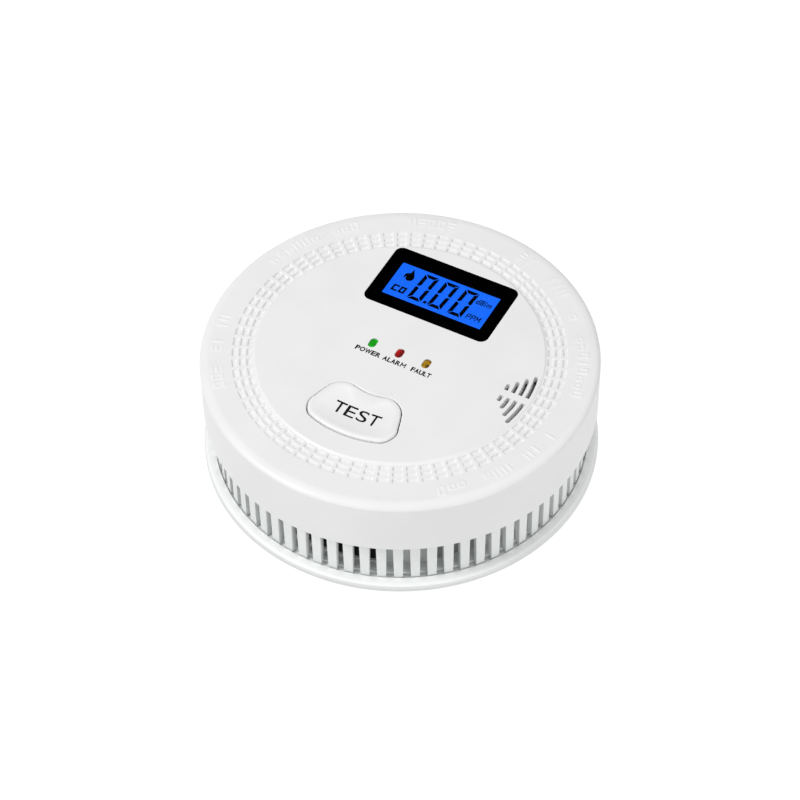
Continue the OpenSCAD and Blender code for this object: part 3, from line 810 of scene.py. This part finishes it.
def flame(cx, cy, tall):
    """A plain flame sign: a tongue that leans, with a smaller one beside it."""
    shape = [(0.0, 0.5), (0.11, 0.3), (0.19, 0.14), (0.28, -0.03), (0.32, -0.19), (0.28, -0.37),
             (0.14, -0.49), (0.0, -0.51), (-0.13, -0.43), (-0.18, -0.29), (-0.19, -0.17), (-0.25, -0.3),
             (-0.27, -0.42), (-0.33, -0.28), (-0.34, -0.13), (-0.3, -0.01), (-0.21, 0.08), (-0.1, 0.11),
             (-0.04, 0.21), (-0.02, 0.35)]
    return curve_through([(cx + px * tall, cy + py * tall) for px, py in shape], 4)[::-1]


# Strokes of the small display letters, each on a square of side 1
STROKES = {
    "C": [((1, 1), (0, 1)), ((0, 1), (0, 0)), ((0, 0), (1, 0))],
    "O": [((0, 0), (0, 1)), ((0, 1), (1, 1)), ((1, 1), (1, 0)), ((1, 0), (0, 0))],
    "P": [((0, 0), (0, 1)), ((0, 1), (1, 1)), ((1, 1), (1, 0.45)), ((1, 0.45), (0, 0.45))],
    "M": [((0, 0), (0, 1)), ((0, 1), (0.5, 0.4)), ((0.5, 0.4), (1, 1)), ((1, 1), (1, 0))],
    "B": [((0, 0), (0, 1)), ((0, 1), (1, 1)), ((1, 1), (1, 0)), ((1, 0), (0, 0)), ((0, 0.52), (1, 0.52))],
    "d": [((1, 0), (1, 1)), ((1, 0), (0, 0)), ((0, 0), (0, 0.6)), ((0, 0.6), (1, 0.6))],
    "m": [((0, 0), (0, 0.6)), ((0, 0.6), (1, 0.6)), ((0.5, 0.6), (0.5, 0)), ((1, 0.6), (1, 0))],
    "/": [((0, 0), (0.6, 1))],
}


def display_word(word, left, base, width, height, space, thickness):
    """Small letters of the display, drawn in straight strokes and slanted like the digits."""
    shapes = []
    lean = math.tan(math.radians(DIGIT_SLANT))
    for letter in word:
        w = width * {"M": 1.2, "m": 1.5, "/": 0.6}.get(letter, 1.0)
        t = thickness / 2
        lines = []
        for ends in STROKES[letter]:
            lines.append([(left + t + px * (w - 2 * t) + py * height * lean, base + t + py * (height - 2 * t))
                          for px, py in ends])
        shapes += strokes(lines, thickness)
        left += w + space
    return shapes


def make_display():
    """The dark segments on the glass, and the black border printed on the window."""
    glass_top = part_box("lcd_glass")[1].z / MM
    z0, z1 = (glass_top + z for z in SEGMENT_LAYER)
    shapes = []
    for left in DIGIT_LEFT:
        shapes += digit_segments(left, DIGIT_BASE)
    shapes.append(DECIMAL_POINT)
    shapes.append(flame(*FLAME))
    for word, form in DISPLAY_WORDS.items():
        shapes += display_word(word, *form)
    piece = prism("lcd_segments", shapes, z0, z1, LCD_INK)
    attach(piece, "detector")

    window_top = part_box("display_window")[1].z / MM
    skin = Skin()
    outer = round_rect(0, WINDOW_Y, WINDOW_HOLE[0] - WINDOW_PLAY, WINDOW_HOLE[1] - WINDOW_PLAY,
                       WINDOW_CORNER - WINDOW_PLAY / 2)
    inner = round_rect(*WINDOW_VIEW, WINDOW_VIEW_CORNER)
    loops = [[skin.loop(outline, window_top + z) for z in BORDER_LAYER] for outline in (outer, inner)]
    skin.join(*loops[0])
    skin.join(*loops[1][::-1])
    skin.flat(loops[0][1], [loops[1][1]], True)
    skin.flat(loops[0][0], [loops[1][0]], False)
    border = skin.build("window_border", MASK)
    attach(border, "detector")


def make_indicators():
    """Domed lenses, one in each oval hole."""
    w, h = INDICATOR_HOLE[0] - LENS_PLAY, INDICATOR_HOLE[1] - LENS_PLAY
    edge_z = DISC_Z - LENS_EDGE
    for i, (node, slot, material) in enumerate((("power_light_pipe", "green_lens", GREEN),
                                                ("alarm_light_pipe", "red_lens", RED),
                                                ("fault_light_pipe", "amber_lens", AMBER))):
        outline = oval(INDICATOR_X + (i - 1) * INDICATOR_PITCH, INDICATOR_Y, w, h)
        skin = Skin()
        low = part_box(node)[0].z / MM
        flange, shoulder = offset(outline, LENS_FLANGE[0]), low + LENS_FLANGE[1]
        loops = [skin.loop(flange, low), skin.loop(flange, shoulder),
                 skin.loop(outline, shoulder), skin.loop(outline, edge_z)]
        for step in range(1, 7):
            a = math.radians(15 * step)
            inset = LENS_DOME[0] * (1.0 - math.cos(a))
            loops.append(skin.loop(offset(outline, -inset), edge_z + LENS_DOME[1] * math.sin(a)))
        skin.chain(loops)
        skin.flat(loops[0], [], False)
        skin.cap(loops[-1], True)
        piece = skin.build(node.replace("light_pipe", "lens"), material)
        smooth(piece, 50.0)
        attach(piece, "detector")
        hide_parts(node)


# ---------------------------------------------------------------- stage

CAMERA_AZIMUTH = 29.0       # degrees, like the elevation and the roll
CAMERA_ELEVATION = 48.99
CAMERA_ROLL = -0.93
CAMERA_DISTANCE = 0.8054    # metres, like everything else on the stage
CAMERA_LENS = 118.8         # focal length for a sensor 36 mm wide
AIM_SIDE = -0.00023         # the aim lies a little left of the axis, seen from the camera
AIM_HEIGHT = 0.01668
GROUND = 0.84               # soft light from below
SKY_LOW = 0.1               # soft light from the sides
SKY_HIGH = 1.04             # soft light from above
FLOOR_REACH = 6.0
FLOOR_Z = -0.00002
FLOOR_GREY = 0.12
FLOOR_GLOW = 0.95
# Azimuth, elevation, distance, size and power of each lamp
LAMPS = {"key": (-133.0, 46.0, 1.5, 0.5, 9.4), "fill": (-25.0, 8.0, 1.5, 0.4, 4.8)}


def make_camera():
    """Long-lens camera that looks down on the front of the object."""
    a, e = math.radians(CAMERA_AZIMUTH), math.radians(CAMERA_ELEVATION)
    back = Vector((math.sin(a) * math.cos(e), -math.cos(a) * math.cos(e), math.sin(e)))
    side = Vector((math.cos(a), math.sin(a), 0.0))
    data = bpy.data.cameras.new("camera")
    data.lens = CAMERA_LENS
    data.sensor_width = 36.0
    data.clip_start = 0.01
    data.clip_end = 50.0
    camera = bpy.data.objects.new("camera", data)
    bpy.context.scene.collection.objects.link(camera)
    aim = side * AIM_SIDE + Vector((0.0, 0.0, AIM_HEIGHT))
    camera.location = aim + back * CAMERA_DISTANCE
    camera.rotation_mode = "QUATERNION"
    roll = Quaternion((0, 0, 1), math.radians(CAMERA_ROLL))
    camera.rotation_quaternion = (-back).to_track_quat("-Z", "Y") @ roll
    bpy.context.scene.camera = camera


def area_light(name, azimuth, elevation, distance, size, power):
    """Round soft light aimed at the object, placed by its direction in degrees."""
    a, e = math.radians(azimuth), math.radians(elevation)
    place = Vector((math.cos(a) * math.cos(e), math.sin(a) * math.cos(e), math.sin(e))) * distance
    data = bpy.data.lights.new(name, "AREA")
    data.shape = "DISK"
    data.size = size
    data.energy = power
    light = bpy.data.objects.new(name, data)
    light.location = place
    light.rotation_mode = "QUATERNION"
    light.rotation_quaternion = (-place).to_track_quat("-Z", "Y")
    bpy.context.scene.collection.objects.link(light)


def make_stage():
    """Plain pale floor, soft sky and two soft lamps."""
    floor_mesh = bpy.data.meshes.new("floor")
    reach = FLOOR_REACH
    floor_mesh.from_pydata([(-reach, -reach, 0), (reach, -reach, 0), (reach, reach, 0), (-reach, reach, 0)],
                           [], [(0, 1, 2, 3)])
    floor = bpy.data.objects.new("floor", floor_mesh)
    floor.location.z = FLOOR_Z
    bpy.context.scene.collection.objects.link(floor)
    material, _, _, shader = node_material("floor_white")
    shader.inputs["Base Color"].default_value = (FLOOR_GREY, FLOOR_GREY, FLOOR_GREY, 1.0)
    shader.inputs["Roughness"].default_value = 0.9
    shader.inputs["Specular IOR Level"].default_value = 0.0
    shader.inputs["Emission Color"].default_value = (1.0, 1.0, 1.0, 1.0)
    shader.inputs["Emission Strength"].default_value = FLOOR_GLOW
    floor_mesh.materials.append(material)
    floor.visible_diffuse = False
    world = bpy.data.worlds.new("studio")
    world.use_nodes = True
    nodes, links = world.node_tree.nodes, world.node_tree.links
    where = nodes.new("ShaderNodeTexCoord")
    split = nodes.new("ShaderNodeSeparateXYZ")
    height = nodes.new("ShaderNodeMapRange")
    ramp = nodes.new("ShaderNodeValToRGB")
    height.inputs["From Min"].default_value = -1.0
    stops = ramp.color_ramp.elements
    stops[0].position, stops[1].position = 0.499, 1.0
    stops.new(0.501)
    for stop, value in zip(stops, (GROUND, SKY_LOW, SKY_HIGH)):
        stop.color = (value, value, value, 1.0)
    links.new(where.outputs["Generated"], split.inputs["Vector"])
    links.new(split.outputs["Z"], height.inputs["Value"])
    links.new(height.outputs["Result"], ramp.inputs["Fac"])
    links.new(ramp.outputs["Color"], nodes["Background"].inputs["Color"])
    bpy.context.scene.world = world
    for name, settings in LAMPS.items():
        area_light(name, *settings)
    bpy.context.scene.view_settings.view_transform = "Standard"


make_camera()
make_stage()
finish_frame_nodes()
make_cover()
make_labels(make_button())
make_display()
make_indicators()
